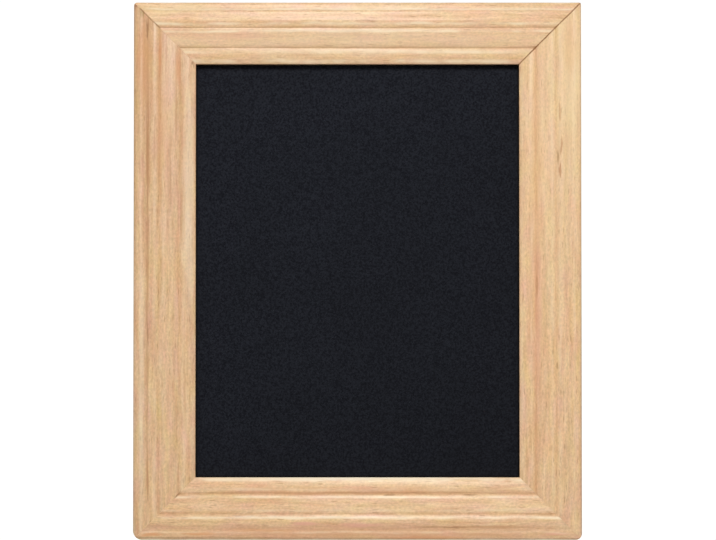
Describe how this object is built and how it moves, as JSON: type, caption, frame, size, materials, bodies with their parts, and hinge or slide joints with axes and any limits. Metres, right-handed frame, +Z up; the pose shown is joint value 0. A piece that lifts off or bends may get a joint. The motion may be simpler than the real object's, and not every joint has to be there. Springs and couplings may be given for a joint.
{
  "type": "wall chalkboard",
  "caption": "Small upright wall chalkboard: a matt black writing panel in a mitred frame of pale reeded wood moulding, with swinging D-rings and rubber bumpers on the back.",
  "frame": {"origin": "on the wall plane, midway between the two hooks that the rings go over", "axes": "+X to the viewer's right, +Y back into the wall, +Z up; the writing side faces -Y"},
  "size_m": [0.2, 0.019, 0.24],
  "materials": {
    "frame_wood": "clear satin lacquer",
    "writing_surface": "matt black chalk coating, finely grained",
    "panel_core": "bare hardboard",
    "spring_steel": "blued spring steel",
    "hanger_metal": "bright nickel plate",
    "bumper_rubber": "matt"
  },
  "bodies": {
    "frame": {"top_rail": "frame_wood", "right_stile": "frame_wood", "bottom_rail": "frame_wood", "left_stile": "frame_wood", "writing_surface": "writing_surface", "panel_core": "panel_core", "panel_point_top_1": "spring_steel", "panel_point_top_2": "spring_steel", "panel_point_right_1": "spring_steel", "panel_point_right_2": "spring_steel", "panel_point_right_3": "spring_steel", "panel_point_bottom_1": "spring_steel", "panel_point_bottom_2": "spring_steel", "panel_point_left_1": "spring_steel", "panel_point_left_2": "spring_steel", "panel_point_left_3": "spring_steel", "v_nail_top_right_outer": "spring_steel", "v_nail_top_right_inner": "spring_steel", "v_nail_bottom_right_outer": "spring_steel", "v_nail_bottom_right_inner": "spring_steel", "v_nail_bottom_left_outer": "spring_steel", "v_nail_bottom_left_inner": "spring_steel", "v_nail_top_left_outer": "spring_steel", "v_nail_top_left_inner": "spring_steel", "hanger_strap_left": "hanger_metal", "hanger_screw_left": "hanger_metal", "wall_bumper_left": "bumper_rubber", "hanger_strap_right": "hanger_metal", "hanger_screw_right": "hanger_metal", "wall_bumper_right": "bumper_rubber"},
    "ring_left": {"hanging_ring_left": "hanger_metal"},
    "ring_right": {"hanging_ring_right": "hanger_metal"}
  },
  "joints": [
    {"name": "ring_left_swing", "type": "hinge", "parent": "frame", "child": "ring_left", "pos_m": [-0.089, -0.0022, -0.0095], "axis": [1, 0, 0], "range_deg": [0, 180]},
    {"name": "ring_right_swing", "type": "hinge", "parent": "frame", "child": "ring_right", "pos_m": [0.089, -0.0022, -0.0095], "axis": [1, 0, 0], "range_deg": [0, 180]}
  ]
}
